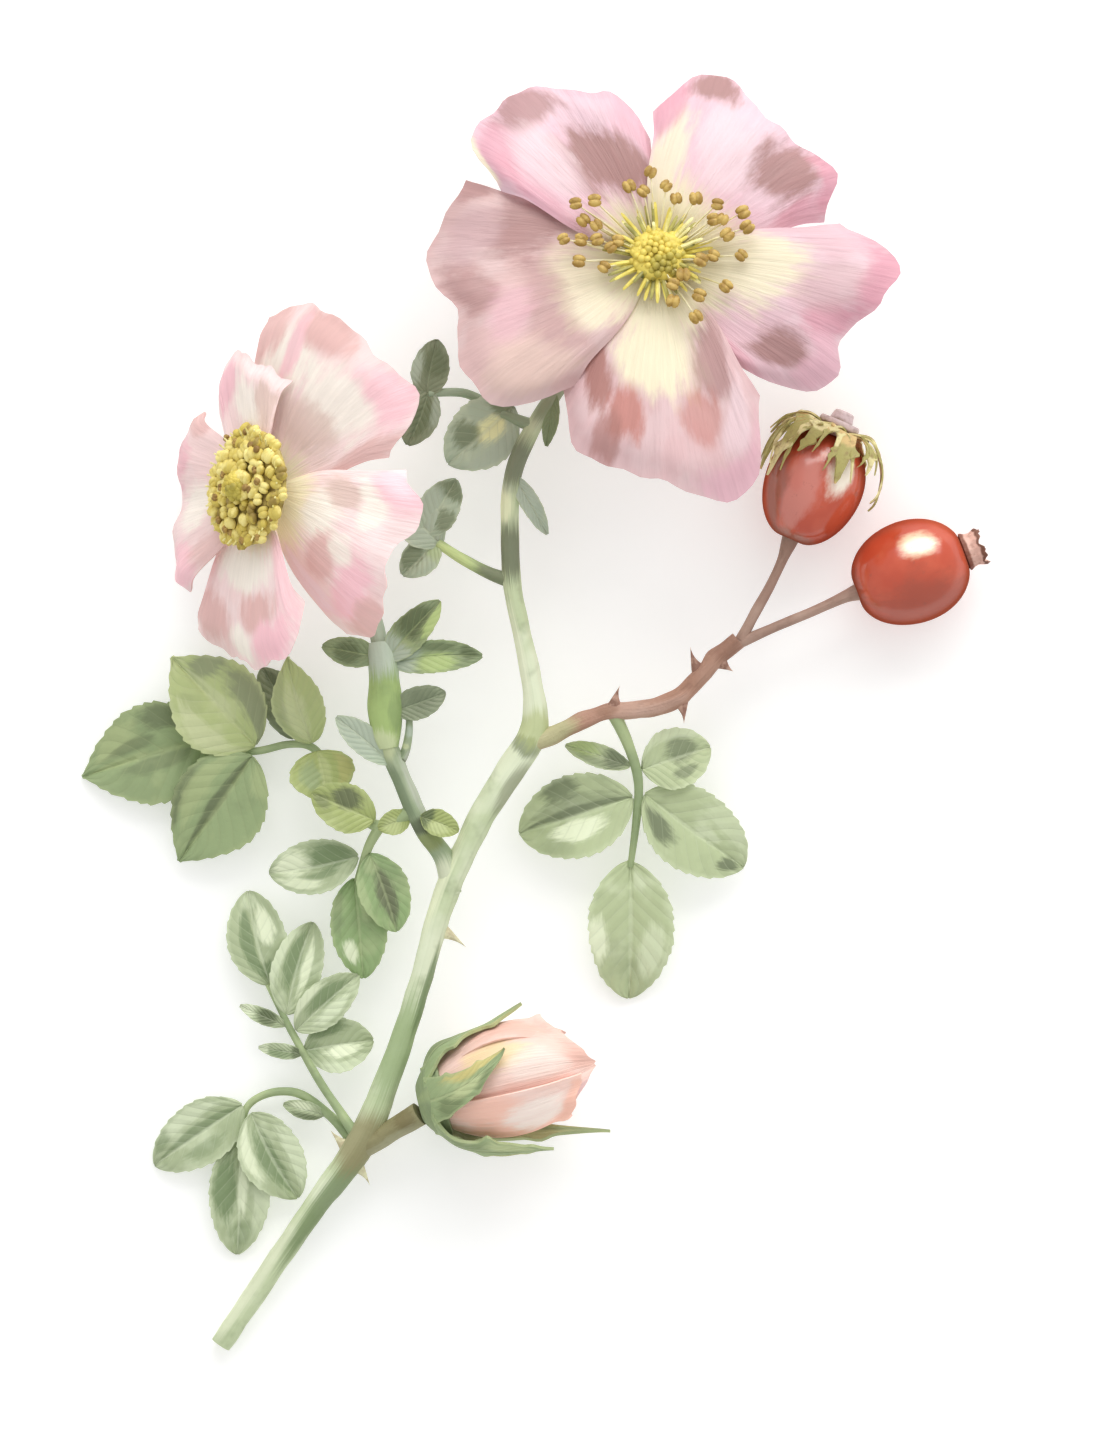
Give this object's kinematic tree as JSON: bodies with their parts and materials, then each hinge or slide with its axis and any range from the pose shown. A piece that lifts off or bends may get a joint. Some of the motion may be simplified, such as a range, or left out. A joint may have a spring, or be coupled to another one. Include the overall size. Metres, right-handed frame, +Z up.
{
  "type": "rose hip sprig",
  "caption": "Cut sprig of dog rose with open flowers, a bud, ripe hips and pinnate leaves on a prickly stem, lying on a surface.",
  "frame": {"origin": "under the middle of the sprig's bounding box, on the surface that it lies on", "axes": "+Z up from the surface, +Y from the cut end towards the large flower along the longest extent, +X to the side of the hips"},
  "size_m": [0.1177, 0.1641, 0.0285],
  "materials": {
    "green_bark": "smooth green bark, lighter on top",
    "brown_bark": "rough terracotta-brown bark",
    "bud_bark": "smooth olive-brown bark",
    "leaf_stalk": "matt green",
    "leaf": "matt green leaf, darker along the veins",
    "bract": "matt green leaf, bright at the sheath",
    "pink_petal": "soft pink petal, cream at the base",
    "pale_petal": "soft pale pink petal, cream at the base",
    "bud_petal": "soft peach-pink petal with salmon edges",
    "sepal": "matt green sepal",
    "anther": "powdery golden anthers on yellow filaments",
    "style": "yellow-green styles",
    "hip_skin": "glossy red skin",
    "dried_calyx": "dry olive-yellow sepals",
    "dry_stub": "dry brown stub"
  },
  "bodies": {
    "root": {"main_stem": "green_bark", "side_stem": "green_bark", "hip_branch": "brown_bark", "upper_hip_stalk": "brown_bark", "lower_hip_stalk": "brown_bark", "bud_stalk": "bud_bark", "leaf_a_stalk": "leaf_stalk", "leaf_b_stalk": "leaf_stalk", "leaf_c_stalk": "leaf_stalk", "leaf_d_stalk": "leaf_stalk", "leaf_a_terminal": "leaf", "leaf_a_left": "leaf", "leaf_a_right": "leaf", "leaf_a_upper_right": "leaf", "leaf_a_upper_left": "leaf", "leaf_b_upper": "leaf", "leaf_b_terminal": "leaf", "leaf_b_lower": "leaf", "leaf_b_inner_upper": "leaf", "leaf_b_shaded": "leaf", "leaf_b_round": "leaf", "leaf_b_inner_lower": "leaf", "leaf_e_left": "leaf", "leaf_e_right": "leaf", "leaf_e_terminal": "leaf", "leaf_c_terminal": "leaf", "leaf_c_upper_right": "leaf", "leaf_c_right": "leaf", "leaf_c_lower_right": "leaf", "leaf_d_left": "leaf", "leaf_d_terminal": "leaf", "leaf_d_right": "leaf", "upper_leaf": "leaf", "middle_leaf": "leaf", "bracts": "bract", "large_flower_petal_right": "pink_petal", "large_flower_petal_upper_right": "pink_petal", "large_flower_petal_upper_left": "pink_petal", "large_flower_petal_left": "pink_petal", "large_flower_petal_bottom": "pink_petal", "side_flower_petal_top_right": "pale_petal", "side_flower_petal_upper_left": "pale_petal", "side_flower_petal_left": "pale_petal", "side_flower_petal_bottom": "pale_petal", "side_flower_petal_lower_right": "pale_petal", "bud_heart": "bud_petal", "bud_petal_1": "bud_petal", "bud_petal_2": "bud_petal", "bud_petal_3": "bud_petal", "large_flower_calyx": "sepal", "side_flower_calyx": "sepal", "bud_calyx": "sepal", "large_flower_stamens": "anther", "side_flower_stamens": "anther", "large_flower_styles": "style", "side_flower_styles": "style", "upper_hip": "hip_skin", "lower_hip": "hip_skin", "upper_hip_calyx": "dried_calyx", "lower_hip_calyx": "dry_stub"}
  },
  "joints": []
}
